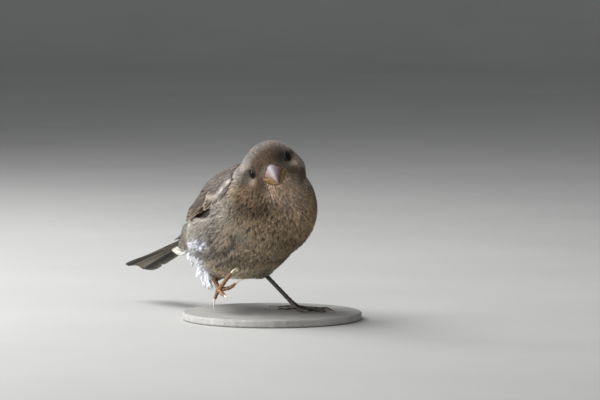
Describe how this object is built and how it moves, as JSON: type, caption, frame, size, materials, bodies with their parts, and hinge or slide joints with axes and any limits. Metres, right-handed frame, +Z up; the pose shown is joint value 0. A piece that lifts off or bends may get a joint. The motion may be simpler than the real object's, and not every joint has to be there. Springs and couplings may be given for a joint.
{
  "type": "house sparrow, juvenile-type, standing display model",
  "caption": "Life-size young house sparrow, fluffed up, head turned and tilted, a foot drawn up, on a plain round display base.",
  "frame": {"origin": "centre of the bounding box, at the underside of the base", "axes": "+Z up; the trunk heads along -Y with the tail towards +Y; the bird's left is +X"},
  "size_m": [0.072, 0.129, 0.0728],
  "materials": {
    "plumage_head": "soft matt feathers, grey crown with warm brown forehead and cheeks",
    "plumage_body": "soft matt loose feathers, buff-grey with fine dark flecks, whiter at the vent",
    "plumage_wing": "matt brown covert feathers with buff and whitish edges",
    "plumage_flight": "matt dark brown flight feathers with buff edges",
    "plumage_tail": "matt grey-brown feathers with paler edges",
    "bill_upper": "pinkish-white horn, satin",
    "bill_lower": "amber-yellow horn and soft gape corners, satin",
    "eye": "wet glossy dark brown",
    "leg": "scaled skin, dull pinkish brown, satin",
    "claw": "dark horn, satin",
    "stand": "plain matt pale grey"
  },
  "bodies": {
    "root": {"bill_lower": "bill_lower", "bill_upper": "bill_upper", "claw_left_hind": "claw", "claw_left_inner": "claw", "claw_left_middle": "claw", "claw_left_outer": "claw", "claw_right_hind": "claw", "claw_right_inner": "claw", "claw_right_middle": "claw", "claw_right_outer": "claw", "eye_left": "eye", "eye_right": "eye", "flight_feathers_left": "plumage_flight", "flight_feathers_right": "plumage_flight", "foot_left": "leg", "foot_right": "leg", "head": "plumage_head", "neck": "plumage_body", "stand_base": "stand", "tail": "plumage_tail", "tarsus_left": "leg", "tarsus_right": "leg", "thigh_left": "plumage_body", "thigh_right": "plumage_body", "trunk": "plumage_body", "wing_left": "plumage_wing", "wing_right": "plumage_wing"}
  },
  "joints": []
}
